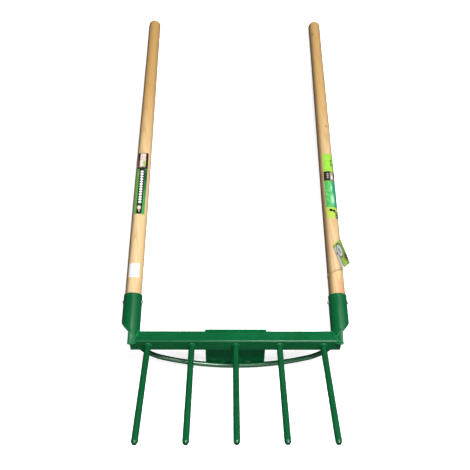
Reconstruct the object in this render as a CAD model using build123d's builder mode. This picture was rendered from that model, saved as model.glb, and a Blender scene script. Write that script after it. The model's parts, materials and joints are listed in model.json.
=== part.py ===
from build123d import *
from math import asin, atan2, cos, degrees, hypot, radians, sin, tan
import os

# A two-handled lawn aerator fork, lying on its back with its tines pointing up and away from the handles.
# Fork frame: origin at the crossbar's centre, X along the bar, Y towards the back, Z from the tines to the handles.
# Row frame: the floor is z = 0, x = 0 is the fork's plane of symmetry, +Y runs from the tines to the grips.

# Crossbar: a square tube
bar_length = 483
bar_size = 32
bar_wall = 3
bar_corner = 3.5
half_bar = bar_size / 2

# Tines
tine_count = 5
tine_spacing = 100.5
tine_radius = 7
tine_length = 248
tine_tip_radius = 4.8
tine_tip_length = 4.5

# Foot plate, flush with the bar's front face and carried at the rear by the bow
plate_width = 142
plate_depth = 121
plate_thickness = 4
plate_corner = 5
plate_rear = plate_depth - half_bar
plate_top = half_bar + plate_thickness

# Bow: a round rod that leaves the bar's back face near each end and runs under the plate's rear edge
bow_radius = 6
bow_height = half_bar - bow_radius
bow_apex = plate_rear - bow_radius / 2
bow_arc_radius = 530
bow_arc_reach = 173
bow_end_x = 234

# Sockets and handles, which lean forward of the tines
lean = radians(24.35)
handle_x = 244
socket_radius = 22
socket_bore_radius = 20
socket_mouth = 110
socket_lap = 6
socket_outer_edge = 2
offcut_height = 23.3
offcut_rise_outward = 0.96
offcut_rise_backward = 0.5
rim_round = 0.9

handle_foot = 50
handle_radius = 19.6
handle_taper_start = 380
handle_end = 1000
grip_radius = 17
grip_length = 120
grip_round = 9

# Rivets through socket and handle
rivet_height = 93
rivet_shank_radius = 3
rivet_head_radius = 5
rivet_head_height = 3
rivet_head_seat = 0.7

# Paper on the handles
paper_thickness = 0.25
label_bottom = 322
label_top = 508
label_half_angle = 44
right_label_bottom = 313
right_label_half_angle = 52
right_label_turn = 17
sticker_bottom = 150
sticker_top = 186
sticker_half_angle = 38

# Hang tag, its tie and the string round the right handle
string_radius = 0.7
string_height = 168
string_tilt = radians(18)
string_slack = 1.2
tag_angle = radians(31)
tag_stand = radians(97)
tag_lean = radians(7)
tag_length = 65
tag_width = 33
tag_paper = 0.5
tag_opening = 2
tag_shift = 1.5
tag_drop = 1
tag_gap = 3
tag_hole_inset = 4.6
tag_hole_radius = 2.6
tie_radius = 0.5
tie_behind_string = 1.9
tie_half_height = 3.6

# Weld beads
weld_size = 3
bead_radius = 2.4

# The floor touches the plate's rear top edge and the rounded ends of both grips, which sets the fork's angle.
grip_centre = handle_end - grip_round
grip_core = grip_radius - grip_round
lie_p = grip_centre * cos(lean) + grip_core * sin(lean) - plate_top
lie_q = grip_core * cos(lean) - grip_centre * sin(lean) - plate_rear
lie = asin(-grip_round / hypot(lie_p, lie_q)) - atan2(lie_q, lie_p)
slope = lie - lean
bar_height = plate_rear * cos(lie) + plate_top * sin(lie)

# Halfway between the grips' ends and the tines' tips is y = 0.
grips_reach = grip_centre * cos(slope) + grip_core * sin(slope) + grip_round
tips_reach = (half_bar + tine_length) * cos(lie) + tine_tip_radius * sin(lie)
bar_y = (tips_reach - grips_reach) / 2

fork = Plane(origin=(0, bar_y, bar_height), x_dir=(1, 0, 0), z_dir=(0, cos(lie), -sin(lie)))


def on_fork(plane):
    return Plane(fork.location * plane.location)


# Handle frame: Z up the handle from the bar's centre, X along the bar, Y towards the back.
right_handle = on_fork(Plane(origin=(handle_x, 0, 0), x_dir=(1, 0, 0), z_dir=(0, -sin(lean), cos(lean))))


def on_handle(plane):
    return Plane(right_handle.location * plane.location)


os.makedirs("parts", exist_ok=True)


def save(part, name):
    part.label = name
    export_step(part, f"parts/{name}.step")


# Crossbar
bar_section = on_fork(Plane.YZ)

with BuildPart() as crossbar:
    with BuildSketch(bar_section):
        RectangleRounded(bar_size, bar_size, bar_corner)
        RectangleRounded(bar_size - 2 * bar_wall, bar_size - 2 * bar_wall, bar_corner - bar_wall, mode=Mode.SUBTRACT)
    extrude(amount=bar_length / 2, both=True)
save(crossbar.part, "crossbar")

with BuildPart() as bar_envelope:
    with BuildSketch(bar_section):
        RectangleRounded(bar_size, bar_size, bar_corner)
    extrude(amount=bar_length / 2, both=True)

# Tines, each with its fillet weld under the bar
tine_top = on_fork(Plane.XY.offset(-half_bar))
tine_places = [(i - (tine_count - 1) / 2) * tine_spacing for i in range(tine_count)]

for number, place in enumerate(tine_places, 1):
    tine_side = on_fork(Plane(origin=(place, 0, -half_bar), x_dir=(1, 0, 0), z_dir=(0, -1, 0)))
    with BuildPart() as tine:
        with BuildSketch(tine_side):
            with BuildLine():
                Polyline(
                    (0, 0), (tine_radius, 0), (tine_radius, tine_tip_length - tine_length),
                    (tine_tip_radius, -tine_length), (0, -tine_length), close=True,
                )
            make_face()
        revolve(axis=Axis(tine_side.origin, fork.z_dir))
    save(tine.part, f"tine_{number}")

with BuildPart() as tine_welds:
    for place in tine_places:
        tine_side = on_fork(Plane(origin=(place, 0, -half_bar), x_dir=(1, 0, 0), z_dir=(0, -1, 0)))
        with BuildSketch(tine_side):
            with BuildLine():
                Polyline((tine_radius, 0), (tine_radius + weld_size, 0), (tine_radius, -weld_size), close=True)
            make_face()
        revolve(axis=Axis(tine_side.origin, fork.z_dir))
save(tine_welds.part, "tine_welds")

# Bow
arc_turn = asin(bow_arc_reach / bow_arc_radius)
arc_end = (bow_arc_reach, bow_apex - bow_arc_radius * (1 - cos(arc_turn)))
bow_plane = on_fork(Plane.XY.offset(bow_height))

with BuildLine(bow_plane) as bow_path:
    middle = ThreePointArc((-arc_end[0], arc_end[1]), (0, bow_apex), arc_end)
    for end, side, leaving in ((middle @ 1, 1, middle % 1), (middle @ 0, -1, -(middle % 0))):
        bend = TangentArc(end, (side * bow_end_x, half_bar), tangent=leaving)
        Line(bend @ 1, (bend @ 1) + (bend % 1) * 2 * bow_radius)

with BuildPart() as bow:
    rod = bow_path.wires()[0]
    with BuildSketch(Plane(origin=rod @ 0, z_dir=rod % 0)):
        Circle(bow_radius)
    sweep(path=rod)
    split(bisect_by=on_fork(Plane.XZ.offset(-half_bar)), keep=Keep.BOTTOM)
save(bow.part, "bow")

# Foot plate
with BuildPart() as foot_plate:
    with BuildSketch(on_fork(Plane.XY.offset(half_bar))) as plate_outline:
        with Locations((0, plate_rear - plate_depth / 2)):
            Rectangle(plate_width, plate_depth)
        fillet(plate_outline.vertices().group_by(Axis.Y)[-1], plate_corner)
    extrude(amount=plate_thickness)
save(foot_plate.part, "foot_plate")

# Right socket: a tube whose front wall laps over the bar, with its lower outer corner sawn off
lap_side = on_fork(Plane.YZ.offset(handle_x))
reach = 3 * socket_radius

with BuildPart() as outer_offcut:
    with BuildSketch(right_handle.offset(-reach)):
        with Locations((socket_outer_edge + reach / 2, 0)):
            Rectangle(reach, 2 * reach)
    extrude(amount=2 * reach)
    saw_plane = Plane(
        origin=(0, 0, offcut_height), x_dir=(1, 0, offcut_rise_outward),
        z_dir=(-offcut_rise_outward, -offcut_rise_backward, 1),
    )
    split(bisect_by=on_handle(saw_plane), keep=Keep.BOTTOM)

with BuildPart() as socket_right:
    with BuildSketch(right_handle.offset(-reach)):
        Circle(socket_radius)
        Circle(socket_bore_radius, mode=Mode.SUBTRACT)
    extrude(amount=reach + socket_mouth)
    fillet(socket_right.faces().sort_by(Axis(right_handle.origin, right_handle.z_dir))[-1].edges(), rim_round)
    with BuildSketch(lap_side):
        with Locations((bar_corner - half_bar, half_bar)):
            Rectangle(2 * reach, 2 * reach, align=(Align.MIN, Align.MAX))
        with Locations((0, -half_bar - socket_lap)):
            Rectangle(4 * reach, 2 * reach, align=(Align.CENTER, Align.MAX))
    extrude(amount=reach, both=True, mode=Mode.SUBTRACT)
    add(outer_offcut.part, mode=Mode.SUBTRACT)
    add(bar_envelope.part, mode=Mode.SUBTRACT)
    with BuildSketch(on_handle(Plane.YZ)):
        with Locations((0, rivet_height)):
            Circle(rivet_shank_radius)
    extrude(amount=reach, both=True, mode=Mode.SUBTRACT)
save(socket_right.part, "socket_right")

# Right handle
with BuildPart() as handle_right:
    with BuildSketch(on_handle(Plane.XZ)):
        with BuildLine():
            Polyline(
                (0, handle_foot), (handle_radius, handle_foot), (handle_radius, handle_taper_start),
                (grip_radius, handle_end - grip_length), (grip_radius, handle_end), (0, handle_end), close=True,
            )
        make_face()
    revolve(axis=Axis(right_handle.origin, right_handle.z_dir))
    fillet(handle_right.edges().sort_by(Axis(right_handle.origin, right_handle.z_dir))[-1], grip_round)
    with BuildSketch(on_handle(Plane.YZ)):
        with Locations((0, rivet_height)):
            Circle(rivet_shank_radius)
    extrude(amount=reach, both=True, mode=Mode.SUBTRACT)
save(handle_right.part, "handle_right")

# Right rivet: a shank with a domed head on each side of the socket
rivet_plane = on_handle(Plane(origin=(0, 0, rivet_height), x_dir=(1, 0, 0), z_dir=(0, -1, 0)))
head_base = socket_radius - rivet_head_seat
head_top = socket_radius + rivet_head_height
dome_height = head_top - head_base
dome_radius = (dome_height**2 + rivet_head_radius**2) / (2 * dome_height)
dome_angle = asin(rivet_head_radius / dome_radius) / 2
dome_middle = (head_top - dome_radius * (1 - cos(dome_angle)), dome_radius * sin(dome_angle))

with BuildPart() as rivet_right:
    with BuildSketch(rivet_plane):
        with BuildLine():
            Polyline(
                (-head_base, rivet_head_radius), (-head_base, rivet_shank_radius),
                (head_base, rivet_shank_radius), (head_base, rivet_head_radius),
            )
            ThreePointArc((head_base, rivet_head_radius), dome_middle, (head_top, 0))
            Line((head_top, 0), (-head_top, 0))
            ThreePointArc((-head_top, 0), (-dome_middle[0], dome_middle[1]), (-head_base, rivet_head_radius))
        make_face()
    revolve(axis=Axis(rivet_plane.origin, rivet_plane.x_dir))
    add(socket_right.part, mode=Mode.SUBTRACT)
save(rivet_right.part, "rivet_right")

# Left socket, handle and rivet
for name, right_part in (("socket", socket_right), ("handle", handle_right), ("rivet", rivet_right)):
    with BuildPart() as left_part:
        mirror(right_part.part, about=Plane.YZ)
    save(left_part.part, f"{name}_left")


# Paper wrapped round a handle, its middle turned from the handle's front
def radius_at(height):
    if height < handle_taper_start:
        return handle_radius
    taper = (height - handle_taper_start) / (handle_end - grip_length - handle_taper_start)
    return handle_radius + taper * (grip_radius - handle_radius)


def wrap(bottom, top, half_angle, turn):
    corners = [(bottom, radius_at(bottom))]
    if bottom < handle_taper_start < top:
        corners.append((handle_taper_start, handle_radius))
    corners.append((top, radius_at(top)))
    inner = [(radius, height) for height, radius in corners]
    outer = [(radius + paper_thickness, height) for height, radius in reversed(corners)]
    start = on_handle(Plane.XZ.rotated((0, 0, turn - 90 - half_angle)))
    with BuildPart() as paper:
        with BuildSketch(start):
            with BuildLine():
                Polyline(*inner, *outer, close=True)
            make_face()
        revolve(axis=Axis(right_handle.origin, right_handle.z_dir), revolution_arc=2 * half_angle)
    return paper.part


save(wrap(right_label_bottom, label_top, right_label_half_angle, right_label_turn), "label_right")
for name, paper in (
    ("label_left", wrap(label_bottom, label_top, label_half_angle, 0)),
    ("price_sticker", wrap(sticker_bottom, sticker_top, sticker_half_angle, 0)),
):
    with BuildPart() as left_paper:
        mirror(paper, about=Plane.YZ)
    save(left_paper.part, name)

# String round the right handle: a tilted ring, with its slack on the tag's side
ring_radius = radius_at(string_height) + string_radius + string_slack
ring_shift = (string_slack * sin(tag_angle), -string_slack * cos(tag_angle))
ring_plane = on_handle(Plane(
    origin=(*ring_shift, string_height + tan(string_tilt) * ring_shift[0]),
    x_dir=(cos(string_tilt), 0, sin(string_tilt)), z_dir=(-sin(string_tilt), 0, cos(string_tilt)),
))

with BuildPart() as tag_string:
    with BuildLine(ring_plane) as ring:
        EllipticalCenterArc((0, 0), ring_radius / cos(string_tilt), ring_radius, arc_size=360)
    with BuildSketch(Plane(origin=ring.line @ 0, z_dir=ring.line % 0)):
        Circle(string_radius)
    sweep(path=ring.line)
save(tag_string.part, "tag_string")

# Hinge frame: X along the string where the tag hangs on it, Y along the tag, Z away from the handle
hang_radius = ring_radius + string_slack
hang_x = hang_radius * sin(tag_angle)
hinge = on_handle(Plane(
    origin=(hang_x, -hang_radius * cos(tag_angle), string_height + tan(string_tilt) * hang_x),
    x_dir=(cos(tag_angle), sin(tag_angle), tan(string_tilt) * cos(tag_angle)),
    z_dir=(sin(tag_angle), -cos(tag_angle), 0),
))


def on_hinge(plane):
    return Plane(hinge.location * plane.location)


# Card frame: X across the card from its free edges to its fold, Z up the card, origin at its lower inner corner
card = on_hinge(Plane(
    origin=(tag_shift, -tag_drop, tag_gap),
    x_dir=(cos(tag_stand) * cos(tag_lean), sin(tag_lean), sin(tag_stand) * cos(tag_lean)),
    z_dir=(-cos(tag_stand) * sin(tag_lean), cos(tag_lean), -sin(tag_stand) * sin(tag_lean)),
))


def on_card(plane):
    return Plane(card.location * plane.location)


# Hang tag: a card folded once, its fold standing away from the handle
hole = on_card(Plane(origin=(tag_hole_inset, 0, tag_hole_inset), x_dir=(1, 0, 0), z_dir=(0, 1, 0)))

with BuildPart() as hang_tag:
    with BuildSketch(card):
        with Locations(Location((tag_width, 0), tag_opening / 2), Location((tag_width, 0), -tag_opening / 2)):
            Rectangle(tag_width, tag_paper, align=(Align.MAX, Align.CENTER))
    extrude(amount=tag_length)
    with BuildSketch(hole):
        Circle(tag_hole_radius)
    extrude(amount=tag_width, both=True, mode=Mode.SUBTRACT)
save(hang_tag.part, "hang_tag")

# Tie: a small loop through the tag's hole and round the string, slanting across the card
tie_reach = hole.origin - hinge.origin
tie_way = tie_reach.normalized()
tie_slant = card.y_dir + tie_way.cross(card.y_dir)
tie_half_length = (tie_reach.length + tie_behind_string) / 2
tie_middle = hinge.origin + tie_way * (tie_reach.length - tie_half_length)

with BuildPart() as tag_tie:
    with BuildLine(Plane(origin=tie_middle, x_dir=tie_way, z_dir=tie_way.cross(tie_slant))) as loop:
        EllipticalCenterArc((0, 0), tie_half_length, tie_half_height, arc_size=360)
    with BuildSketch(Plane(origin=loop.line @ 0, z_dir=loop.line % 0)):
        Circle(tie_radius)
    sweep(path=loop.line)
save(tag_tie.part, "tag_tie")

with BuildPart() as tube_envelope:
    with BuildSketch(right_handle.offset(-reach)):
        Circle(socket_radius)
    extrude(amount=reach + socket_mouth)

# Welds round the bow's ends on the bar's back face
with BuildPart() as right_bow_weld:
    with BuildLine(on_fork(Plane.XZ.offset(-half_bar))) as round_end:
        EllipticalCenterArc((bow_end_x, bow_height), bow_radius + bead_radius / 2, bow_radius, arc_size=360)
    with BuildSketch(Plane(origin=round_end.line @ 0, z_dir=round_end.line % 0)):
        Circle(bead_radius)
    sweep(path=round_end.line)
    add(bow.part, mode=Mode.SUBTRACT)
    add(bar_envelope.part, mode=Mode.SUBTRACT)
    add(tube_envelope.part, mode=Mode.SUBTRACT)

with BuildPart() as bow_welds:
    add(right_bow_weld.part)
    mirror(right_bow_weld.part, about=Plane.YZ)
save(bow_welds.part, "bow_welds")

# Welds that join the sockets to the bar: over its top, then down its front face along the lap
lap_top = (half_bar, -half_bar * tan(lean), socket_radius / cos(lean))
top_start = 180 - degrees(asin((half_bar - lap_top[1]) / lap_top[2]))
top_turn = 180 + degrees(asin((half_bar + lap_top[1]) / lap_top[2])) - top_start
front_centre = (handle_x, half_bar / tan(lean))
front_axis = socket_radius / sin(lean)
front_start = 180 + degrees(asin((front_centre[1] - half_bar) / front_axis))
front_turn = 180 + degrees(asin((front_centre[1] + half_bar) / front_axis)) - front_start

with BuildPart() as right_socket_weld:
    with BuildLine(on_fork(Plane.XY.offset(half_bar))) as over_top:
        EllipticalCenterArc((handle_x, lap_top[1]), socket_radius, lap_top[2], top_start, arc_size=top_turn)
    with BuildLine(on_fork(Plane.XZ.offset(half_bar))) as down_front:
        EllipticalCenterArc(front_centre, socket_radius, front_axis, front_start, arc_size=front_turn)
    for path in (over_top.line, down_front.line):
        with BuildSketch(Plane(origin=path @ 0, z_dir=path % 0)):
            Circle(bead_radius)
        sweep(path=path)
    add(tube_envelope.part, mode=Mode.SUBTRACT)
    add(bar_envelope.part, mode=Mode.SUBTRACT)
    add(bow.part, mode=Mode.SUBTRACT)
    add(right_bow_weld.part, mode=Mode.SUBTRACT)

with BuildPart() as socket_welds:
    add(right_socket_weld.part)
    mirror(right_socket_weld.part, about=Plane.YZ)
save(socket_welds.part, "socket_welds")

# Welds of the foot plate: beside it on the bar's top, under it behind the bar, and in front of the bow
plate_edge = plate_width / 2
bow_front = bow_apex - bow_radius
plate_beads = (
    ((plate_edge, -half_bar + bar_corner), (plate_edge, half_bar - bar_corner)),
    ((-plate_edge, -half_bar + bar_corner), (-plate_edge, half_bar - bar_corner)),
    ((-plate_edge + plate_corner, half_bar), (plate_edge - plate_corner, half_bar)),
    ((-plate_edge / 2, bow_front), (plate_edge / 2, bow_front)),
)

with BuildPart() as plate_welds:
    for start, end in plate_beads:
        with BuildLine(on_fork(Plane.XY.offset(half_bar))) as seam:
            Line(start, end)
        with BuildSketch(Plane(origin=seam.line @ 0, z_dir=seam.line % 0)):
            Circle(bead_radius)
        sweep(path=seam.line)
    add(foot_plate.part, mode=Mode.SUBTRACT)
    add(bar_envelope.part, mode=Mode.SUBTRACT)
    add(bow.part, mode=Mode.SUBTRACT)
save(plate_welds.part, "plate_welds")
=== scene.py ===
import json
from math import atan2, ceil, cos, pi, radians, sin, sqrt

import bpy
from mathutils import Matrix, Vector


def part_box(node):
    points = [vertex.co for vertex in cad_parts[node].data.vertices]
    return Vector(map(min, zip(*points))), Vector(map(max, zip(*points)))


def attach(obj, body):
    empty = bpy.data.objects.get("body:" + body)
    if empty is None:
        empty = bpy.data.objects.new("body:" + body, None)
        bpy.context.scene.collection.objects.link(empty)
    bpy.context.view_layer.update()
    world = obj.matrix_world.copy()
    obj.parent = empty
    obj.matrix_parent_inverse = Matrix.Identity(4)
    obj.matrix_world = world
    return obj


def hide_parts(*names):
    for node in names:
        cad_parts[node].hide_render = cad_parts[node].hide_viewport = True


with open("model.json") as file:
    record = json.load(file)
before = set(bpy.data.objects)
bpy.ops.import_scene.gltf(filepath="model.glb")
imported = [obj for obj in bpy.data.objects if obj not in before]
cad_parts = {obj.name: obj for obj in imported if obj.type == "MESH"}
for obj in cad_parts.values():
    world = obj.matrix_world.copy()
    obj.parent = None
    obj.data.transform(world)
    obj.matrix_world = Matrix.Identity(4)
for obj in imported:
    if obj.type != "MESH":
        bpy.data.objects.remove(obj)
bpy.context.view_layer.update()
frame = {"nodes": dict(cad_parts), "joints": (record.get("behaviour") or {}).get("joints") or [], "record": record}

# A two-handled lawn aerator fork lying on its back. Everything is in metres, in the CAD's own frame.
MM = 0.001

# Bar, sockets and handles
HALF_BAR = 16 * MM
SOCKET_RADIUS = 22 * MM
GRIP_ROUND = 9 * MM
RIVET_HEIGHT = 93 * MM

# Growth rings of each handle: their centre in X and Y at its foot, and its drift up the handle
LEFT_PITH = (0.011, 0.075, 0.035)
RIGHT_PITH = (-0.019, 0.062, -0.04)
# Knots of the right handle: height up it, place across it, and size
RIGHT_KNOTS = ((0.945, -0.009, 0.0035), (0.60, 0.006, 0.002))
# Stretches over which the wood's colour changes: heights up the handle, and places across it
WARM_FOOT = (0.17, 0.105)
WARM_SIDE = (-0.012, 0.014)
# Painted shade: heights over which the wood darkens up towards the grips, where the light falls off
GRIP_SHADE_LOWER = (0.36, 0.66)
GRIP_SHADE_UPPER = (0.55, 0.98)
# Painted shade along each handle's left side: the places across the handle where the dark strip begins and ends
PAINTED_SHADE_SIDE = (-0.008, -0.018)

# Weld beads: overlapping crescents, each a pitch long, wavering a little and tapered at open ends
BEAD_RADIUS = 2.4 * MM
BEAD_PITCH = 1.7 * MM
BEAD_STEP = 0.3 * MM
BEAD_SIDES = 14
BEAD_WAVER = 0.04
BEAD_WAVER_LENGTH = 5.3 * MM
BEAD_TAPER_RADII = 1.4
BEAD_BLUNTNESS = 0.04
BEAD_TRAIL = 0.45
BEAD_SEAT = 0.4 * MM

# Beads round the bow's ends, round the tines, and along the foot plate's seams
BOW_BEAD_RADIUS = BEAD_RADIUS * 0.9
BOW_BEAD_INSET = 6.6 * MM
BOW_BEAD_HEIGHT = 9 * MM
BOW_BEAD_RING = (7.6 * MM, 6.4 * MM)
TINE_BEAD_RADIUS = 1.9 * MM
TINE_BEAD_RING = (7.9 * MM, 7.9 * MM)
TINE_BEAD_SEAT = 0.5 * MM
PLATE_BEAD_RADIUS = BEAD_RADIUS * 0.85
SIDE_SEAM_FRONT = -11 * MM
SIDE_SEAM_BACK = 10 * MM
BACK_SEAM_INSET = 5 * MM
BACK_SEAM_OUT = 0.6 * MM
BACK_SEAM_DOWN = 0.2 * MM
BOW_SEAM_DOWN = 0.4 * MM
BOW_FRONT = 96 * MM
# Ends of the short seams between the plate and the bow, in millimetres along the bar
BOW_SEAMS = ((-38, -22), (-8, 8), (22, 38))

# Weld runs on a socket's front: start, bend and end as degrees and millimetres up the handle, then the radius
SOCKET_STROKES = (
    ((4, 25), (14, 12), (42, 2), 2.0),
    ((40, -3), (26, -8), (12, -12), 2.6),
    ((46, -9), (30, -15), (4, -15), 1.8),
)
SOCKET_SEAM_OVERRUN = 5 * MM

# Paper on the handles
LABEL_HALF_ANGLE = radians(44)
RIGHT_LABEL_HALF_ANGLE = radians(52)
RIGHT_LABEL_TURN = radians(17)
STICKER_HALF_ANGLE = radians(38)

# String: a ring that hangs a little loose round the right handle
STRING_RADIUS = 0.7 * MM
STRING_TILT = radians(18)
STRING_SLACK = 1.2 * MM
# How much fatter each ply is than plies that only touch
PLY_SWELL = 1.12

# The string's knot and its two loose ends. Plain numbers are millimetres, except that the lobe is a share
# of the loop and the turns are in radians.
KNOT_TURN = pi + radians(22)
KNOT_STANDOFF = 0.9 * MM
KNOT_RADIUS = 0.62 * MM
KNOT_HALF_WIDTH = 1.15
KNOT_HALF_HEIGHT = 0.85
KNOT_LOBE = 0.9
KNOT_LIFT = 0.35
KNOT_DEPTH = 0.55
END_RADIUS = 0.6 * MM
END_REACH_AND_DROOP = ((6.5, 1.6), (-5.0, -1.1))
END_SLANT = 0.5
END_LIFT = 0.5
END_ARCH = 1.1
END_ARCH_TURN = 2.6

# Hang tag, with its corner in the hinge frame, and the thread through its hole
CARD_CORNER = Vector((1.5, -1, 3)) * MM
CARD_LENGTH = 65 * MM
CARD_WIDTH = 33 * MM
TAG_STAND = radians(97)
TAG_LEAN = radians(7)
HOLE_INSET = 4.6 * MM
TIE_BEHIND_STRING = 1.9 * MM
TIE_HALF_HEIGHT = 3.6 * MM
TIE_RADIUS = 0.5 * MM

# Camera, and light panels: name, place, target, size and watts
CAMERA_TARGET = Vector((-0.40, -102.44, 58.88)) * MM
CAMERA_PLACE = Vector((-20.65, -660.70, 1449.47)) * MM
CAMERA_ROLL = radians(2.14)
CAMERA_LENS = 44.93
PANELS = (
    ("key", (0.38, -0.08, 2.1), (0, -0.1, 0), (0.5, 0.5), 50),
    ("side", (1.7, 0.2, 2.2), (0, 0, 0), (1.0, 1.2), 15),
    ("front", (0.1, -2.0, 1.6), (0, -0.3, 0), (1.8, 1.2), 12),
)
SKY_STRENGTH = 0.10

# Studio round the fork
FLOOR_REACH = 12
FLOOR_GLOW = 0.75
WALL_RADIUS = 10
WALL_BOTTOM = -1
WALL_TOP = 12
WALL_SIDES = 96
WALL_GLOW = 0.9

mounts = {mount["name"]: mount for mount in frame["record"]["mounts"]}
tag_joint = frame["joints"][0]


def node_middle(name):
    low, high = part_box(name)
    return (low + high) / 2


def frame_matrix(origin, x_axis, z_axis):
    z = z_axis.normalized()
    x = (x_axis - z * x_axis.dot(z)).normalized()
    y = z.cross(x)
    return Matrix.Translation(origin) @ Matrix((x, y, z)).transposed().to_4x4()


# Fork frame: X along the bar, Y towards its back, Z towards the handles. Handle frames: Z up the handle.
across = Vector((1, 0, 0))
bar_centre = node_middle("crossbar")
fork_frame = frame_matrix(bar_centre, across, Vector(mounts["foot_plate_top"]["axis"]))
fork_up = fork_frame.to_3x3() @ Vector((0, 0, 1))
fork_back = fork_frame.to_3x3() @ Vector((0, 1, 0))
tine_names = [name for name in sorted(frame["nodes"]) if name.startswith("tine_") and name != "tine_welds"]


def handle_frame(side):
    grip = mounts["grip_" + side]
    return frame_matrix(
        Vector((grip["pos_m"][0], bar_centre.y, bar_centre.z)), across, Vector(grip["axis"])
    )


handles = {side: handle_frame(side) for side in ("left", "right")}
handle_length = (Vector(mounts["grip_right"]["pos_m"]) - handles["right"].translation).length
handle_length += mounts["grip_right"]["dims"]["length_mm"] * MM / 2 + GRIP_ROUND

# Hinge frame of the tag: X along the string, Y nearly up the card, Z away from the handle
hinge_origin = Vector(tag_joint["pos_m"])
hinge_out = handles["right"].inverted() @ hinge_origin
string_height = hinge_out.z
hang_radius = hinge_out.xy.length
hinge_out.z = 0
hinge_frame = frame_matrix(
    hinge_origin, Vector(tag_joint["axis"]), handles["right"].to_3x3() @ hinge_out
)

# Card frame: X across the hang tag from its free edges to its fold, Z up the card
hinge_turn = hinge_frame.to_3x3()
card_frame = frame_matrix(
    hinge_frame @ CARD_CORNER,
    hinge_turn @ Vector((cos(TAG_STAND) * cos(TAG_LEAN), sin(TAG_LEAN), sin(TAG_STAND) * cos(TAG_LEAN))),
    hinge_turn @ Vector((-cos(TAG_STAND) * sin(TAG_LEAN), cos(TAG_LEAN), -sin(TAG_STAND) * sin(TAG_LEAN))),
)


def make_camera():
    data = bpy.data.cameras.new("camera")
    data.lens = CAMERA_LENS
    data.sensor_width = 36
    camera = bpy.data.objects.new("camera", data)
    aim = (CAMERA_TARGET - CAMERA_PLACE).to_track_quat("-Z", "Y").to_matrix().to_4x4()
    camera.matrix_world = Matrix.Translation(CAMERA_PLACE) @ aim @ Matrix.Rotation(CAMERA_ROLL, 4, "Z")
    bpy.context.scene.collection.objects.link(camera)
    bpy.context.scene.camera = camera


def area_light(name, place, target, size, power):
    data = bpy.data.lights.new(name, "AREA")
    data.shape = "RECTANGLE"
    data.size, data.size_y = size
    data.energy = power
    light = bpy.data.objects.new(name, data)
    light.location = place
    light.rotation_euler = (Vector(target) - Vector(place)).to_track_quat("-Z", "Y").to_euler()
    bpy.context.scene.collection.objects.link(light)


def make_light():
    """A small key panel overhead, weak panels from the right and from the tines' end, and a faint sky."""
    for panel in PANELS:
        area_light(*panel)
    world = bpy.data.worlds.new("studio")
    world.use_nodes = True
    world.node_tree.nodes["Background"].inputs["Color"].default_value = (0.95, 0.97, 1, 1)
    world.node_tree.nodes["Background"].inputs["Strength"].default_value = SKY_STRENGTH
    bpy.context.scene.world = world
    bpy.context.scene.view_settings.view_transform = "Standard"


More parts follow.
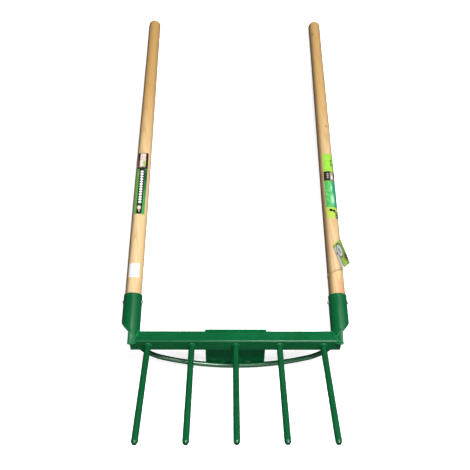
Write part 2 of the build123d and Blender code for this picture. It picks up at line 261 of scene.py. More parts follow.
# Materials
class Finish:
    """A material on a Principled shader, with short calls for the nodes that feed it."""

    def __init__(self, name, **surface):
        self.material = bpy.data.materials.new(name)
        self.material.use_nodes = True
        self.tree = self.material.node_tree
        self.shader = self.tree.nodes["Principled BSDF"]
        for socket, value in surface.items():
            self.shader.inputs[socket.replace("_", " ")].default_value = value

    def feed(self, socket, value):
        if isinstance(value, bpy.types.NodeSocket):
            self.tree.links.new(value, socket)
        else:
            socket.default_value = value

    def node(self, kind, inputs=(), **settings):
        made = self.tree.nodes.new("ShaderNode" + kind)
        for name, value in settings.items():
            setattr(made, name, value)
        for socket, value in dict(inputs).items():
            self.feed(made.inputs[socket], value)
        return made

    def place(self, matrix):
        """Coordinates in metres in the given frame."""
        inverse = matrix.inverted()
        coordinates = self.node("TexCoord").outputs["Object"]
        return self.node("Mapping", {
            "Vector": coordinates,
            "Location": inverse.translation,
            "Rotation": inverse.to_3x3().to_euler("XYZ"),
        }).outputs[0]

    def stretch(self, vector, scale):
        return self.node("Mapping", {"Vector": vector, "Scale": scale}).outputs[0]

    def split(self, vector):
        return self.node("SeparateXYZ", {0: vector}).outputs

    def noise(self, vector, scale, detail=3, roughness=0.5):
        made = self.node("TexNoise", {
            "Vector": vector, "Scale": scale, "Detail": detail, "Roughness": roughness,
        })
        return made.outputs[0]

    def cells(self, vector, scale):
        return self.node("TexVoronoi", {"Vector": vector, "Scale": scale}).outputs["Distance"]

    def sum(self, operation, a, b=0.0):
        return self.node("Math", {0: a, 1: b}, operation=operation).outputs[0]

    def span(self, value, low, high, to_low=0.0, to_high=1.0):
        """Maps low..high to to_low..to_high smoothly, and holds the ends."""
        made = self.node("MapRange", {
            "Value": value, "From Min": low, "From Max": high, "To Min": to_low, "To Max": to_high,
        }, interpolation_type="SMOOTHSTEP")
        return made.outputs[0]

    def span_line(self, value, low, high):
        """Maps low..high to 0..1 in a straight line, and holds the ends."""
        return self.node("MapRange", {"Value": value, "From Min": low, "From Max": high}).outputs[0]

    def ramp(self, factor, stops):
        made = self.node("ValToRGB", {0: factor})
        elements = made.color_ramp.elements
        while len(elements) < len(stops):
            elements.new(0.5)
        for element, (position, colour) in zip(elements, stops):
            element.position = position
            element.color = (*colour, 1)
        return made.outputs[0]

    def mix(self, factor, a, b, blend="MIX"):
        made = self.node("Mix", data_type="RGBA", blend_type=blend, clamp_factor=True)
        colours = [socket for socket in made.inputs if socket.type == "RGBA"]
        self.feed(made.inputs[0], factor)
        for socket, value in zip(colours, (a, b)):
            self.feed(socket, value if isinstance(value, bpy.types.NodeSocket) else (*value, 1))
        return [socket for socket in made.outputs if socket.type == "RGBA"][0]

    def bump(self, height, depth, strength=1, normal=None):
        inputs = {"Height": height, "Distance": depth, "Strength": strength}
        if normal is not None:
            inputs["Normal"] = normal
        return self.node("Bump", inputs).outputs[0]

    def edges(self, radius):
        """0 on flat faces and up to 1 on sharp edges."""
        rounded = self.node("Bevel", {"Radius": radius}, samples=6).outputs[0]
        flat = self.node("NewGeometry").outputs["Normal"]
        alike = self.node("VectorMath", {0: rounded, 1: flat}, operation="DOT_PRODUCT").outputs["Value"]
        return self.span(alike, 1.0, 0.82)

    def finish(self, colour, roughness, normal=None):
        self.feed(self.shader.inputs["Base Color"], colour)
        self.feed(self.shader.inputs["Roughness"], roughness)
        if normal is not None:
            self.feed(self.shader.inputs["Normal"], normal)
        return self.material


def enamel(name, matrix, along, wear=0.5, tone=1.0, gloss=0.42):
    """Semi-gloss green paint: orange peel, sags along the part, dust, and rubbed edges."""
    m = Finish(name, Specular_IOR_Level=gloss)
    place = m.place(matrix)
    shade = m.noise(place, 16, detail=3, roughness=0.6)
    green = m.ramp(shade, (
        (0.25, (0.0008 * tone, 0.095 * tone, 0.026 * tone)),
        (0.75, (0.0024 * tone, 0.128 * tone, 0.038 * tone)),
    ))
    dust = m.span(m.noise(place, 95, detail=6, roughness=0.7), 0.5, 0.8, 0, 0.10)
    green = m.mix(dust, green, (0.05, 0.12, 0.07))
    chips = m.span(m.noise(place, 420, detail=3, roughness=0.7), 0.60 - 0.1 * wear, 0.66 - 0.06 * wear)
    rubbed = m.sum("MULTIPLY", m.edges(1.1 * MM), chips)
    green = m.mix(m.sum("MULTIPLY", rubbed, 0.75 * wear), green, (0.17, 0.30, 0.20))
    smears = m.noise(m.stretch(place, along), 60, detail=4, roughness=0.6)
    roughness = m.sum("ADD", m.span(smears, 0.3, 0.75, 0.24, 0.36), m.sum("MULTIPLY", rubbed, 0.25))
    peel = m.bump(m.noise(place, 520, detail=2), 0.10 * MM, 0.35)
    sag = m.bump(m.noise(m.stretch(place, along), 75, detail=2), 0.5 * MM, 0.35, peel)
    return m.finish(green, roughness, m.bump(rubbed, -0.08 * MM, 0.6, sag))


def weld_paint(name, matrix, tone=1.0):
    """The same paint pooled over a weld bead, a little lighter on its crests."""
    m = Finish(name, Specular_IOR_Level=0.5)
    place = m.place(matrix)
    pits = m.noise(place, 700, detail=4, roughness=0.65)
    green = m.ramp(m.noise(place, 120, detail=3), (
        (0.3, (0.001 * tone, 0.098 * tone, 0.028 * tone)),
        (0.75, (0.006 * tone, 0.165 * tone, 0.058 * tone)),
    ))
    green = m.mix(m.span(pits, 0.62, 0.75, 0, 0.5), green, (0.02, 0.10, 0.04))
    return m.finish(green, m.span(pits, 0.3, 0.7, 0.22, 0.42), m.bump(pits, 0.35 * MM, 0.6))


def ash(name, matrix, pith, tone, knots=(), warm_end=0.3, grip_shade_tone=0.8):
    """Lacquered ash: growth rings cut along the handle, open pores, silky rays and small knots, with painted shade
    up towards the grips and along the left side.
    """
    m = Finish(name, Coat_Weight=0.12, Coat_Roughness=0.32, IOR=1.5, Specular_IOR_Level=0.35)
    place = m.place(matrix)
    bend = m.noise(m.stretch(place, (9, 9, 1.6)), 1, detail=2)
    x, y, z = m.split(place)
    waver = m.sum("MULTIPLY", m.sum("SUBTRACT", bend, 0.5), 16 * MM)
    drift = m.sum("MULTIPLY", z, pith[2])
    off_x = m.sum("ADD", m.sum("SUBTRACT", x, pith[0]), waver)
    off_y = m.sum("ADD", m.sum("SUBTRACT", y, pith[1]), drift)
    dark = None
    for height, side, size in knots:
        dx = m.sum("SUBTRACT", x, side)
        dz = m.sum("MULTIPLY", m.sum("SUBTRACT", z, height), 0.55)
        away = m.sum("SQRT", m.sum("ADD", m.sum("MULTIPLY", dx, dx), m.sum("MULTIPLY", dz, dz)))
        pull = m.span(away, 0, size * 5, 4.5 * MM, 0)
        off_x = m.sum("ADD", off_x, pull)
        spot = m.span(away, size * 0.55, size * 1.5, 1, 0)
        dark = spot if dark is None else m.sum("MAXIMUM", dark, spot)
    radius = m.sum("SQRT", m.sum("ADD", m.sum("MULTIPLY", off_x, off_x), m.sum("MULTIPLY", off_y, off_y)))
    ring = m.sum("FRACT", m.sum("MULTIPLY", radius, 1 / (3.1 * MM)))
    late = m.sum("MULTIPLY", m.span(ring, 0.35, 0.92), m.span(ring, 1.0, 0.94))
    colour = m.ramp(late, (
        (0, (0.80 * tone, 0.575 * tone, 0.305 * tone)),
        (0.6, (0.76 * tone, 0.53 * tone, 0.265 * tone)),
        (1, (0.70 * tone, 0.46 * tone, 0.21 * tone)),
    ))
    patches = m.noise(m.stretch(place, (14, 14, 3.2)), 1, detail=3)
    colour = m.mix(m.span(patches, 0.45, 0.72, 0, 0.55), colour, (0.73, 0.43, 0.16))
    colour = m.mix(m.span(patches, 0.42, 0.25, 0, 0.35), colour, (0.86, 0.66, 0.38))
    foot = m.sum("MULTIPLY", m.span(z, *WARM_FOOT, 0, warm_end), m.span(x, *WARM_SIDE))
    colour = m.mix(foot, colour, (0.68, 0.27, 0.12))
    fibres = m.noise(m.stretch(place, (900, 900, 12)), 1, detail=3, roughness=0.6)
    colour = m.mix(m.span(fibres, 0.5, 0.72, 0, 0.30), colour, (0.55, 0.33, 0.14))
    pores = m.noise(m.stretch(place, (1900, 1900, 85)), 1, detail=2, roughness=0.7)
    open_pores = m.sum("MULTIPLY", m.span(pores, 0.62, 0.74), m.span(ring, 0.55, 0.08, 0.15, 1))
    colour = m.mix(m.sum("MULTIPLY", open_pores, 0.55), colour, (0.30, 0.165, 0.065))
    rays = m.cells(m.stretch(place, (420, 420, 60)), 1)
    colour = m.mix(m.span(rays, 0.20, 0.05, 0, 0.22), colour, (0.93, 0.76, 0.50))
    if dark is not None:
        colour = m.mix(m.sum("MULTIPLY", dark, 0.85), colour, (0.16, 0.075, 0.030))
    end = m.span(z, handle_length - 7 * MM, handle_length - 1 * MM)
    colour = m.mix(m.sum("MULTIPLY", end, 0.35), colour, (0.48, 0.28, 0.12))
    # Painted shade: darker up towards the grips, where the light falls off, mottled by the patches
    grip_shade = m.sum("ADD", m.span(z, *GRIP_SHADE_LOWER, 0, 0.5), m.span(z, *GRIP_SHADE_UPPER, 0, 0.6))
    grip_shade = m.sum("ADD", grip_shade, m.sum("MULTIPLY", m.sum("SUBTRACT", patches, 0.5), 0.7))
    colour = m.mix(m.span(grip_shade, 0.05, 1.0, 0, grip_shade_tone), colour, (0.53, 0.30, 0.085))
    # Painted shade: a dark strip along the handle's left side
    colour = m.mix(m.span(x, *PAINTED_SHADE_SIDE, 0, 0.85), colour, (0.24, 0.14, 0.065))
    grime = m.span(m.noise(place, 45, detail=5, roughness=0.7), 0.55, 0.8, 0, 0.12)
    colour = m.mix(grime, colour, (0.42, 0.30, 0.18))
    roughness = m.span(m.sum("ADD", fibres, m.sum("MULTIPLY", open_pores, 0.3)), 0.35, 0.8, 0.36, 0.58)
    normal = m.bump(open_pores, -0.12 * MM, 0.5)
    normal = m.bump(m.sum("ADD", fibres, late), 0.05 * MM, 0.35, normal)
    normal = m.bump(m.noise(m.stretch(place, (30, 30, 6)), 1, detail=1), 0.8 * MM, 0.3, normal)
    return m.finish(colour, roughness, normal)


def zinc(name, matrix):
    """Satin zinc-plated steel with fine turning marks and a few dull spots."""
    m = Finish(name, Metallic=0.6)
    place = m.place(matrix)
    spots = m.noise(place, 900, detail=4, roughness=0.6)
    colour = m.ramp(spots, ((0.3, (0.50, 0.50, 0.48)), (0.7, (0.80, 0.80, 0.78))))
    x, y, z = m.split(place)
    around = m.sum("SQRT", m.sum("ADD", m.sum("MULTIPLY", y, y), m.sum("MULTIPLY", z, z)))
    turned = m.sum("SINE", m.sum("MULTIPLY", around, 2 * pi / (0.28 * MM)))
    normal = m.bump(turned, 0.01 * MM, 0.5, m.bump(spots, 0.08 * MM, 0.5))
    return m.finish(colour, m.span(spots, 0.3, 0.7, 0.42, 0.24), normal)


class Print(Finish):
    """Glossy print laid out on u from -1 to 1 across and v from 0 to 1 up a sheet of paper or card."""

    def lay_out(self, u, v, ground, tall):
        self.u, self.v, self.colour, self.tall = u, v, ground, tall

    def box(self, u_low, u_high, v_low, v_high, soft=0.012):
        sides = self.sum("MULTIPLY", self.span(self.u, u_low - soft * 2, u_low + soft * 2),
                         self.span(self.u, u_high + soft * 2, u_high - soft * 2))
        ends = self.sum("MULTIPLY", self.span(self.v, v_low - soft / 2, v_low + soft / 2),
                        self.span(self.v, v_high + soft / 2, v_high - soft / 2))
        return self.sum("MULTIPLY", sides, ends)

    def disc(self, u, v, radius, stretch=1.0, soft=0.06):
        """An ellipse whose radius is in half widths of the sheet."""
        du = self.sum("SUBTRACT", self.u, u)
        dv = self.sum("MULTIPLY", self.sum("SUBTRACT", self.v, v), self.tall / stretch)
        away = self.sum("SQRT", self.sum("ADD", self.sum("MULTIPLY", du, du), self.sum("MULTIPLY", dv, dv)))
        return self.span(away, radius + soft, radius - soft)

    def paint(self, mask, colour):
        self.colour = self.mix(mask, self.colour, colour)

    def leaves(self, u, half_width, v_low, v_high, count):
        """A row of pointed leaves along v."""
        beat = self.sum("MULTIPLY", self.sum("SUBTRACT", self.v, v_low), pi * count / (v_high - v_low))
        width = self.sum("MULTIPLY", self.sum("ABSOLUTE", self.sum("SINE", beat)), half_width)
        inside = self.sum("SUBTRACT", width, self.sum("ABSOLUTE", self.sum("SUBTRACT", self.u, u)))
        row = self.box(u - half_width, u + half_width, v_low, v_high)
        return self.sum("MULTIPLY", self.span(inside, 0.0, 0.05), row)

    def done(self, place, creases=0.12):
        dots = self.noise(place, 2600, detail=1)
        ink = self.mix(self.span(dots, 0.35, 0.65, 0, 0.03), self.colour, (0.9, 0.9, 0.88))
        rub = self.span(self.noise(place, 130, detail=5, roughness=0.75), 0.62, 0.80, 0, 0.22)
        ink = self.mix(rub, ink, (0.80, 0.80, 0.74))
        edge = self.edges(0.25 * MM)
        ink = self.mix(self.sum("MULTIPLY", edge, 0.5), ink, (0.86, 0.86, 0.82))
        wrinkle = self.noise(place, 55, detail=3, roughness=0.55)
        normal = self.bump(wrinkle, 0.8 * MM, creases, self.bump(dots, 0.02 * MM, 0.2))
        return self.finish(ink, self.span(wrinkle, 0.3, 0.7, 0.24, 0.36), normal)


def node_reach(name, matrix):
    """The lowest and highest height of a node's mesh in the given frame."""
    inverse = matrix.inverted()
    heights = [(inverse @ vertex.co).z for vertex in frame["nodes"][name].data.vertices]
    return min(heights), max(heights)


def wrapped(m, side, node, half_angle, turn=0):
    """u round the handle and v up it, for a node centred at turn radians from the handle's front."""
    bottom, top = node_reach(node, handles[side])
    place = m.place(handles[side] @ Matrix.Rotation(turn, 4, "Z"))
    x, y, z = m.split(place)
    angle = m.sum("ARCTAN2", x, m.sum("MULTIPLY", y, -1.0))
    return place, m.sum("DIVIDE", angle, half_angle), m.span_line(z, bottom, top)


# Inks. A box of print is given as u low, u high, v low and v high, and a disc as u, v and radius.
BLACK = (0.006, 0.007, 0.006)
WHITE = (0.86, 0.86, 0.84)
LIME = (0.30, 0.60, 0.05)
BRIGHT_GREEN = (0.12, 0.42, 0.06)
DEEP_GREEN = (0.008, 0.10, 0.035)


def left_label():
    m = Print("left_label_print", Coat_Weight=0.1, Coat_Roughness=0.2, Specular_IOR_Level=0.2)
    place, u, v = wrapped(m, "left", "label_left", LABEL_HALF_ANGLE)
    m.lay_out(u, v, BRIGHT_GREEN, 10)
    m.paint(m.box(0.46, 1.2, -0.1, 0.72), m.mix(m.span(v, 0.1, 0.6), (0.06, 0.34, 0.07), DEEP_GREEN))
    m.paint(m.box(-0.46, 0.50, 0.03, 0.74), BLACK)
    m.paint(m.disc(0.02, 0.04, 0.48), BLACK)
    m.paint(m.leaves(0.04, 0.32, 0.165, 0.70, 13), WHITE)
    m.paint(m.disc(-0.02, 0.10, 0.34), (0.72, 0.42, 0.38))
    m.paint(m.disc(-0.02, 0.10, 0.18), WHITE)
    m.paint(m.leaves(0.02, 0.12, 0.03, 0.06, 1), WHITE)
    m.paint(m.box(-1.2, 1.2, 0.73, 1.1), BLACK)
    m.paint(m.box(-1.2, -0.55, 0.76, 0.88, 0.03), (0.22, 0.05, 0.035))
    sky = m.span(m.noise(place, 190, detail=3), 0.40, 0.62)
    m.paint(m.box(-0.50, 0.50, 0.765, 0.99, 0.05), m.mix(sky, (0.74, 0.46, 0.36), (0.82, 0.78, 0.70)))
    m.paint(m.disc(0.30, 0.82, 0.26, 1.6), (0.30, 0.50, 0.10))
    m.paint(m.disc(-0.24, 0.80, 0.20, 2.0), (0.80, 0.72, 0.66))
    m.paint(m.disc(0.22, 0.93, 0.24, 1.2), (0.80, 0.50, 0.40))
    return m.done(place)


def right_label():
    m = Print("right_label_print", Coat_Weight=0.15, Coat_Roughness=0.2, Specular_IOR_Level=0.25)
    place, u, v = wrapped(m, "right", "label_right", RIGHT_LABEL_HALF_ANGLE, RIGHT_LABEL_TURN)
    m.lay_out(u, v, LIME, 10)
    m.paint(m.leaves(0.30, 0.22, 0.80, 0.92, 2), (0.06, 0.26, 0.03))
    m.paint(m.box(0.55, 1.2, 0.72, 1.1, 0.04), (0.16, 0.40, 0.03))
    # Painted sheen across the green band: a mottled lighter green, and two pale blobs in its middle standing in
    # for glare
    painted_sheen = m.span(m.noise(place, 150, detail=3), 0.42, 0.62)
    m.paint(m.box(-1.2, 1.2, 0.16, 0.56, 0.02), m.mix(painted_sheen, (0.05, 0.38, 0.08), (0.10, 0.50, 0.13)))
    m.paint(m.box(0.10, 1.2, 0.16, 0.56, 0.08), (0.02, 0.27, 0.14))
    m.paint(m.disc(0.05, 0.28, 0.22, 3.0, 0.2), (0.42, 0.66, 0.46))
    m.paint(m.disc(-0.05, 0.45, 0.14, 3.0, 0.15), (0.36, 0.62, 0.40))
    m.paint(m.box(-1.2, 1.2, 0.565, 0.715), BLACK)
    m.paint(m.box(-0.05, 0.55, 0.575, 0.705), (0.40, 0.30, 0.22))
    m.paint(m.leaves(-0.42, 0.20, 0.60, 0.69, 3), (0.30, 0.30, 0.28))
    m.paint(m.leaves(0.22, 0.16, 0.59, 0.65, 1), WHITE)
    m.paint(m.box(-1.2, 1.2, -0.1, 0.155), (0.40, 0.56, 0.06))
    m.paint(m.leaves(-0.35, 0.30, 0.09, 0.14, 1), BLACK)
    m.paint(m.leaves(0.10, 0.24, 0.08, 0.13, 1), BLACK)
    m.paint(m.box(0.28, 1.2, -0.1, 0.10), BLACK)
    m.paint(m.leaves(0.45, 0.10, 0.01, 0.09, 2), (0.45, 0.50, 0.20))
    return m.done(place)


def sticker():
    m = Print("price_sticker_print")
    place, u, v = wrapped(m, "left", "price_sticker", STICKER_HALF_ANGLE)
    m.lay_out(u, v, (0.84, 0.86, 0.90), 1.4)
    for row, length in ((0.74, 0.62), (0.58, 0.42), (0.42, 0.55)):
        m.paint(m.box(0.05, 0.05 + length, row - 0.035, row + 0.035), (0.50, 0.56, 0.72))
    m.paint(m.box(-0.62, 0.66, 0.12, 0.20), (0.62, 0.66, 0.76))
    return m.done(place, 0.25)


def card():
    """The hang tag's print, which repeats on both leaves: X across the card and Z up it."""
    m = Print("hang_tag_print", Coat_Weight=0.4, Coat_Roughness=0.1)
    place = m.place(card_frame)
    x, y, z = m.split(place)
    u = m.span_line(x, 0, CARD_WIDTH)
    m.lay_out(m.sum("SUBTRACT", m.sum("MULTIPLY", u, 2), 1.0), m.span_line(z, 0, CARD_LENGTH), LIME, 4)
    tint = m.span(m.noise(place, 85, detail=3), 0.4, 0.65)
    m.paint(m.box(-1.2, 1.2, -0.1, 1.1), m.mix(tint, (0.46, 0.78, 0.08), (0.60, 0.80, 0.16)))
    m.paint(m.box(0.50, 1.2, -0.1, 0.9, 0.03), (0.34, 0.52, 0.09))
    m.paint(m.disc(0.80, 0.30, 0.42, 1.5, 0.2), (0.16, 0.09, 0.05))
    m.paint(m.box(-1.2, -0.50, -0.1, 0.90), (0.84, 0.84, 0.86))
    m.paint(m.box(-0.54, -0.44, 0.02, 0.60), (0.10, 0.14, 0.16))
    m.paint(m.disc(-0.05, 0.66, 0.60, 2.0, 0.06), (0.03, 0.10, 0.05))
    m.paint(m.disc(-0.05, 0.66, 0.52, 1.9, 0.06), (0.86, 0.90, 0.86))
    m.paint(m.leaves(-0.10, 0.18, 0.55, 0.78, 3), (0.14, 0.40, 0.12))
    m.paint(m.disc(-0.72, 0.62, 0.14), (0.05, 0.10, 0.09))
    return m.done(place, 0.3)


def twine_fibre(name, matrix, colour):
    """Coarse fibrous string, lighter on the raised plies."""
    m = Finish(name, Sheen_Weight=0.4, Sheen_Roughness=0.5)
    place = m.place(matrix)
    fluff = m.noise(place, 2400, detail=3, roughness=0.7)
    dark = tuple(0.55 * part for part in colour)
    tint = m.ramp(fluff, ((0.3, dark), (0.7, colour)))
    return m.finish(tint, m.span(fluff, 0.3, 0.7, 0.9, 0.7), m.bump(fluff, 0.15 * MM, 0.8))


def stage_finish(name, glow):
    m = Finish(name, Emission_Color=(1, 1, 1, 1), Emission_Strength=glow)
    mottle = m.noise(m.node("TexCoord").outputs["Object"], 2.5, detail=2)
    return m.finish(m.ramp(mottle, ((0.3, (0.90, 0.90, 0.90)), (0.7, (0.93, 0.93, 0.93)))), 0.85)


def dress(material, *names):
    for name in names:
        mesh = frame["nodes"][name].data
        mesh.materials.clear()
        mesh.materials.append(material)


def mesh_object(name, vertices, faces, material, body, replaced=()):
    mesh = bpy.data.meshes.new(name)
    mesh.from_pydata(vertices, [], faces)
    mesh.validate()
    mesh.polygons.foreach_set("use_smooth", [True] * len(mesh.polygons))
    mesh.materials.append(material)
    piece = bpy.data.objects.new(name, mesh)
    bpy.context.scene.collection.objects.link(piece)
    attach(piece, body)
    if replaced:
        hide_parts(*replaced)
    return piece


def resample(points, step, closed):
    """The same line with points an even step apart."""
    line = list(points) + ([points[0]] if closed else [])
    lengths = [0.0]
    for a, b in zip(line, line[1:]):
        lengths.append(lengths[-1] + (b - a).length)
    count = max(8, ceil(lengths[-1] / step))
    wanted = [lengths[-1] * i / count for i in range(count if closed else count + 1)]
    out, k = [], 0
    for length in wanted:
        while k < len(line) - 2 and lengths[k + 1] < length:
            k += 1
        share = (length - lengths[k]) / max(lengths[k + 1] - lengths[k], 1e-9)
        out.append(line[k].lerp(line[k + 1], share))
    return out, lengths[-1]


def tangents(points, closed):
    count = len(points)
    made = []
    for i in range(count):
        before = points[i - 1] if closed or i > 0 else points[0]
        after = points[(i + 1) % count] if closed or i < count - 1 else points[-1]
        made.append((after - before).normalized())
    return made


def skin(faces, start, count, sides, closed):
    """Faces round a tube of count rings of vertices, which begin at start, with caps on an open one."""
    for i in range(count if closed else count - 1):
        a, b = start + i * sides, start + (i + 1) % count * sides
        for k in range(sides):
            n = (k + 1) % sides
            faces.append((a + k, a + n, b + n, b + k))
    if not closed:
        faces.append(tuple(start + k for k in reversed(range(sides))))
        faces.append(tuple(start + (count - 1) * sides + k for k in range(sides)))


def sweep_bead(vertices, faces, points, radius, up, closed=False, ripple=0.13):
    """A weld bead along points: overlapping crescents, with rounded ends where it's open."""
    points, length = resample(points, BEAD_STEP, closed)
    count = len(points)
    ways = tangents(points, closed)
    start = len(vertices)
    beads = max(2, round(length / BEAD_PITCH))
    for i, (point, way) in enumerate(zip(points, ways)):
        run = length * i / (count if closed else count - 1)
        phase = (beads * run / length) % 1.0
        crest = ripple * sqrt(max(0.0, sin(pi * phase)))
        size = radius * (1 - ripple + crest + BEAD_WAVER * sin(run / BEAD_WAVER_LENGTH))
        if not closed:
            end = min(run, length - run) / (BEAD_TAPER_RADII * radius)
            size *= sqrt(max(BEAD_BLUNTNESS, 1 - (1 - min(end, 1)) ** 2))
        side = way.cross(up).normalized()
        rise = side.cross(way).normalized()
        for k in range(BEAD_SIDES):
            turn = 2 * pi * k / BEAD_SIDES
            trail = -BEAD_TRAIL * radius * (1 - cos(turn)) * 0.5
            vertices.append(point + (rise * cos(turn) + side * sin(turn)) * size - way * trail)
    skin(faces, start, count, BEAD_SIDES, closed)


def on_fork(x, y, z):
    return fork_frame @ Vector((x, y, z))


def ellipse(place, half_width, half_height):
    """Points round an ellipse in a plane of the fork frame, given as a function of two coordinates."""
    count = 96
    turns = [2 * pi * i / count for i in range(count)]
    return [place(half_width * cos(turn), half_height * sin(turn)) for turn in turns]


def socket_seams(side):
    """Where the socket's inner half meets the bar's top and its front face, as points of the fork frame."""
    handle = handles[side]
    fork = fork_frame.inverted()
    along = (fork.to_3x3() @ handle.to_3x3() @ Vector((0, 0, 1))).normalized()
    cross = (fork.to_3x3() @ handle.to_3x3() @ Vector((0, 1, 0))).normalized()
    centre = fork @ handle.translation

    def is_inner(point):
        return (point.x < centre.x) == (side == "right")

    top, front = [], []
    steps = 240
    for i in range(steps + 1):
        turn = 2 * pi * i / steps
        point = centre + SOCKET_RADIUS * (Vector((1, 0, 0)) * cos(turn) + cross * sin(turn))
        at_top = point + along * (HALF_BAR - point.z) / along.z
        if abs(at_top.y) < HALF_BAR and is_inner(at_top):
            top.append(at_top)
        at_front = point - along * (point.y + HALF_BAR) / along.y
        if -HALF_BAR - SOCKET_SEAM_OVERRUN < at_front.z < HALF_BAR and is_inner(at_front):
            front.append(at_front)
    return sorted(top, key=lambda p: p.y), sorted(front, key=lambda p: -p.z)


def on_socket(side, angle, height):
    """A point of the socket's surface, angle degrees from its front towards the other handle."""
    inward = -1 if side == "right" else 1
    turn = radians(angle)
    return handles[side] @ Vector(
        (inward * SOCKET_RADIUS * sin(turn), -SOCKET_RADIUS * cos(turn), height * MM)
    )


def socket_stroke(side, start, bend, end):
    """A curve on the socket's surface from start to end, drawn towards bend."""
    points = []
    steps = 40
    for i in range(steps + 1):
        t = i / steps
        angle, height = (
            (1 - t) ** 2 * a + 2 * t * (1 - t) * b + t * t * c for a, b, c in zip(start, bend, end)
        )
        points.append(on_socket(side, angle, height))
    return points


def make_socket_welds(material):
    vertices, faces = [], []
    for side in ("left", "right"):
        outwards = handles[side].to_3x3() @ Vector((0, -1, 0))
        for start, bend, end, size in SOCKET_STROKES:
            stroke = socket_stroke(side, start, bend, end)
            sweep_bead(vertices, faces, stroke, size * MM, outwards, ripple=0.25)
        for seam, up in zip(socket_seams(side), (fork_up, -fork_back)):
            sweep_bead(vertices, faces, [fork_frame @ point for point in seam], BEAD_RADIUS, up)
    mesh_object("socket_weld_beads", vertices, faces, material, "fork", ["socket_welds"])


def make_bow_welds(material):
    vertices, faces = [], []
    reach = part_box("bow")[1].x - BOW_BEAD_INSET
    for side in (-1, 1):
        path = ellipse(
            lambda a, b: on_fork(side * reach + a, HALF_BAR + BEAD_SEAT, BOW_BEAD_HEIGHT + b), *BOW_BEAD_RING
        )
        sweep_bead(vertices, faces, path, BOW_BEAD_RADIUS, fork_back, closed=True)
    mesh_object("bow_weld_beads", vertices, faces, material, "fork", ["bow_welds"])


def make_tine_welds(material):
    vertices, faces = [], []
    for name in tine_names:
        place = (fork_frame.inverted() @ node_middle(name)).x
        path = ellipse(lambda a, b: on_fork(place + a, b, -HALF_BAR - TINE_BEAD_SEAT), *TINE_BEAD_RING)
        sweep_bead(vertices, faces, path, TINE_BEAD_RADIUS, -fork_up, closed=True)
    mesh_object("tine_weld_beads", vertices, faces, material, "fork", ["tine_welds"])


def make_plate_welds(material):
    """Seams beside the plate on the bar, along the bar's back, and in short runs along the bow's front."""
    vertices, faces = [], []
    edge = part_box("foot_plate")[1].x
    beside = HALF_BAR + BEAD_SEAT
    seams = [
        ((side * edge, SIDE_SEAM_FRONT, beside), (side * edge, SIDE_SEAM_BACK, beside)) for side in (-1, 1)
    ]
    back_end, back_y, back_z = edge - BACK_SEAM_INSET, HALF_BAR + BACK_SEAM_OUT, HALF_BAR - BACK_SEAM_DOWN
    seams.append(((-back_end, back_y, back_z), (back_end, back_y, back_z)))
    for start, end in BOW_SEAMS:
        seams.append(tuple((x * MM, BOW_FRONT, HALF_BAR - BOW_SEAM_DOWN) for x in (start, end)))
    steps = 60
    for start, end in seams:
        line = [on_fork(*start).lerp(on_fork(*end), i / steps) for i in range(steps + 1)]
        sweep_bead(vertices, faces, line, PLATE_BEAD_RADIUS, fork_up)
    mesh_object("plate_weld_beads", vertices, faces, material, "fork", ["plate_welds"])


def twist(vertices, faces, points, radius, turns, plies, closed, sides=8):
    """Plies laid round one another along a line."""
    count = len(points)
    ways = tangents(points, closed)
    side = ways[0].orthogonal().normalized()
    sides_along = []
    for way in ways:
        side = (side - way * side.dot(way)).normalized()
        sides_along.append(side)
    slip = 0.0
    if closed:
        last = sides_along[-1]
        way = ways[0]
        last = (last - way * last.dot(way)).normalized()
        slip = atan2(last.cross(sides_along[0]).dot(way), last.dot(sides_along[0]))
    ply = radius / (1 + 1 / sin(pi / plies)) * PLY_SWELL
    lay = radius - ply
    for strand in range(plies):
        start = len(vertices)
        centres = []
        for i, point in enumerate(points):
            share = i / (count if closed else count - 1)
            turn = 2 * pi * (turns * share + strand / plies) + slip * share
            other = ways[i].cross(sides_along[i])
            centres.append(point + (sides_along[i] * cos(turn) + other * sin(turn)) * lay)
        for i, centre in enumerate(centres):
            spin = slip * i / count if closed else 0
            other = ways[i].cross(sides_along[i])
            for k in range(sides):
                turn = 2 * pi * k / sides + spin
                vertices.append(centre + (sides_along[i] * cos(turn) + other * sin(turn)) * ply)
        skin(faces, start, count, sides, closed)


def ring_point(turn, radius_offset=0.0):
    """A point of the string's ring round the right handle, turn radians from the handle's +X."""
    tag_turn = atan2(hinge_out.y, hinge_out.x)
    radius = hang_radius - STRING_SLACK + radius_offset
    x = STRING_SLACK * cos(tag_turn) + radius * cos(turn)
    y = STRING_SLACK * sin(tag_turn) + radius * sin(turn)
    height = string_height + (x - hinge_out.x) * sin(STRING_TILT) / cos(STRING_TILT)
    return handles["right"] @ Vector((x, y, height))


def make_string(material):
    vertices, faces = [], []
    count = 420
    ring = [ring_point(2 * pi * i / count) for i in range(count)]
    twist(vertices, faces, ring, STRING_RADIUS, turns=34, plies=3, closed=True)
    mesh_object("tag_twine", vertices, faces, material, "fork", ["tag_string"])


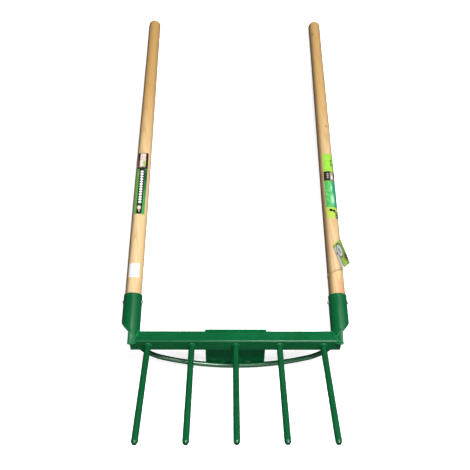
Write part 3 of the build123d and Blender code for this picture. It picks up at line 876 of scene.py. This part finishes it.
def make_knot(material):
    """The string's knot: a looped lump and two loose ends."""
    vertices, faces = [], []
    middle = ring_point(KNOT_TURN, KNOT_STANDOFF)
    handle = handles["right"].to_3x3()
    out = (handle @ Vector((cos(KNOT_TURN), sin(KNOT_TURN), 0))).normalized()
    nudge = 0.02
    along = (ring_point(KNOT_TURN + nudge) - ring_point(KNOT_TURN - nudge)).normalized()
    rise = out.cross(along)
    lump = []
    count = 240
    for i in range(count):
        t = 2 * pi * i / count
        lump.append(middle + MM * (
            along * KNOT_HALF_WIDTH * (sin(t) + KNOT_LOBE * sin(2 * t))
            + rise * KNOT_HALF_HEIGHT * (cos(t) - KNOT_LOBE * cos(2 * t))
            + out * (KNOT_LIFT - KNOT_DEPTH * sin(3 * t))
        ))
    twist(vertices, faces, lump, KNOT_RADIUS, turns=9, plies=3, closed=True)
    steps = 39
    for reach, droop in END_REACH_AND_DROOP:
        loose_end = []
        for i in range(steps + 1):
            s = i / steps
            loose_end.append(middle + MM * (
                along * END_SLANT * s + out * (END_LIFT + END_ARCH * sin(END_ARCH_TURN * s))
                - rise * reach * s + along * droop * s * s
            ))
        twist(vertices, faces, loose_end, END_RADIUS, turns=3, plies=3, closed=False)
    mesh_object("tag_twine_knot", vertices, faces, material, "fork")


def make_tie(material):
    """The thread loop through the card's hole and round the twine."""
    vertices, faces = [], []
    hole = card_frame @ Vector((HOLE_INSET, 0, HOLE_INSET))
    reach = hole - hinge_origin
    way = reach.normalized()
    normal = card_frame.to_3x3() @ Vector((0, 1, 0))
    slant = normal + way.cross(normal)
    slant = (slant - way * slant.dot(way)).normalized()
    half_length = (reach.length + TIE_BEHIND_STRING) / 2
    middle = hinge_origin + way * (reach.length - half_length)
    loop = []
    count = 160
    for i in range(count):
        t = 2 * pi * i / count
        loop.append(middle + way * half_length * cos(t) + slant * TIE_HALF_HEIGHT * sin(t))
    twist(vertices, faces, loop, TIE_RADIUS, turns=9, plies=2, closed=True)
    mesh_object("tag_thread", vertices, faces, material, "tag", ["tag_tie"])


def make_stage():
    """A pale floor and a pale wall far round it, which neither light the fork nor reflect in it."""
    floor_points = [
        (-FLOOR_REACH, -FLOOR_REACH, 0), (FLOOR_REACH, -FLOOR_REACH, 0),
        (FLOOR_REACH, FLOOR_REACH, 0), (-FLOOR_REACH, FLOOR_REACH, 0),
    ]
    wall_points, wall_faces = [], []
    for i in range(WALL_SIDES):
        turn = 2 * pi * i / WALL_SIDES
        for height in (WALL_BOTTOM, WALL_TOP):
            wall_points.append((WALL_RADIUS * cos(turn), WALL_RADIUS * sin(turn), height))
        a, b = 2 * i, 2 * ((i + 1) % WALL_SIDES)
        wall_faces.append((a, a + 1, b + 1, b))
    stage = (
        ("floor", floor_points, [(0, 1, 2, 3)], stage_finish("studio_floor", FLOOR_GLOW)),
        ("backdrop", wall_points, wall_faces, stage_finish("studio_wall", WALL_GLOW)),
    )
    for name, points, faces, material in stage:
        mesh = bpy.data.meshes.new(name)
        mesh.from_pydata(points, [], faces)
        mesh.materials.append(material)
        piece = bpy.data.objects.new(name, mesh)
        bpy.context.scene.collection.objects.link(piece)
        piece.visible_diffuse = False
        piece.visible_glossy = False
        piece.visible_shadow = name == "floor"


make_camera()
make_light()
make_stage()

# Finishes of the CAD nodes
dress(enamel("bar_enamel", fork_frame, (0.2, 1, 1)), "crossbar")
dress(enamel("bow_enamel", fork_frame, (0.2, 1, 1), gloss=0.85), "bow")
# The plate's copy of the paint is lighter (tone 1.35): painted light that makes up for the shade the plate lies in
# under the bar
dress(enamel("plate_enamel", fork_frame, (1, 0.4, 1), tone=1.35, gloss=0.25), "foot_plate")
# The tines' copy of the paint is darker (tone 0.85): painted shade
dress(enamel("tine_enamel", fork_frame, (1, 1, 0.15), 0.3, 0.85), *tine_names)
for side in ("left", "right"):
    dress(enamel(side + "_socket_enamel", handles[side], (1, 1, 0.2), gloss=0.27), "socket_" + side)
    rivet_frame = handles[side] @ Matrix.Translation((0, 0, RIVET_HEIGHT))
    dress(zinc(side + "_rivet_zinc", rivet_frame), "rivet_" + side)
dress(ash("left_ash", handles["left"], LEFT_PITH, 0.98), "handle_left")
dress(
    ash("right_ash", handles["right"], RIGHT_PITH, 0.80, RIGHT_KNOTS, warm_end=0.75, grip_shade_tone=0.62),
    "handle_right",
)
dress(left_label(), "label_left")
dress(right_label(), "label_right")
dress(sticker(), "price_sticker")
dress(card(), "hang_tag")

# Detailed pieces in place of the plain welds, string and thread
painted_weld = weld_paint("weld_enamel", fork_frame)
# The socket beads' copy of the weld paint is lighter (tone 1.3): a painted highlight on the socket welds
make_socket_welds(weld_paint("socket_weld_enamel", fork_frame, 1.3))
make_bow_welds(painted_weld)
make_tine_welds(painted_weld)
make_plate_welds(painted_weld)
twine = twine_fibre("twine_fibre", handles["right"], (0.50, 0.38, 0.24))
make_string(twine)
make_knot(twine)
make_tie(twine_fibre("thread_fibre", hinge_frame, (0.50, 0.42, 0.30)))
